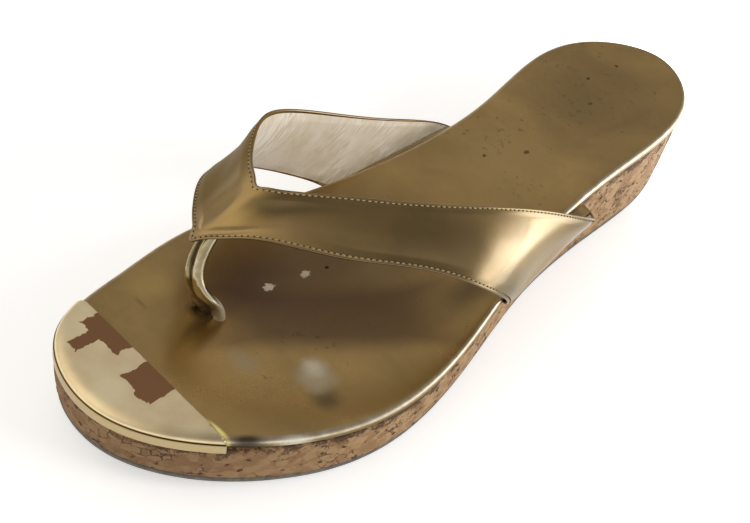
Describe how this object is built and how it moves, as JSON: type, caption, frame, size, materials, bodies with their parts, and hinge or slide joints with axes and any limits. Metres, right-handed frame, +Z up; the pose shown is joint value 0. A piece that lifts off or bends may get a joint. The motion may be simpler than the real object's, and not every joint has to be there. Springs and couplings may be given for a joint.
{
  "type": "toe post wedge sandal",
  "caption": "Left toe post sandal with a low cork wedge, a broad metallic leather thong upper, a padded footbed and a bare polished metal plate wrapped over the toe.",
  "frame": {"origin": "on the floor, at the middle of the sole's length and width", "axes": "+Z up from the floor, -Y towards the toe and +Y towards the heel, -X the inner (big toe) side and +X the outer side"},
  "size_m": [0.086, 0.249, 0.0585],
  "materials": {
    "metallic_leather": "smooth leather foiled in antique gold, glossy and slightly mottled, with rows of stitches along the strap's edges",
    "cork": "matt granulated cork with dark bark flecks",
    "sole_rubber": "thin matt dark brown rubber",
    "plated_metal": "polished pale gold plating with brown tarnish along its back edge",
    "lining_leather": "soft beige lining leather, finely creased",
    "stitch_thread": "twisted thread in dull gold"
  },
  "bodies": {
    "root": {"outsole": "sole_rubber", "cork_wedge": "cork", "footbed": "metallic_leather", "toe_plate": "plated_metal", "thong_upper": "metallic_leather", "toe_post": "metallic_leather"}
  },
  "joints": []
}
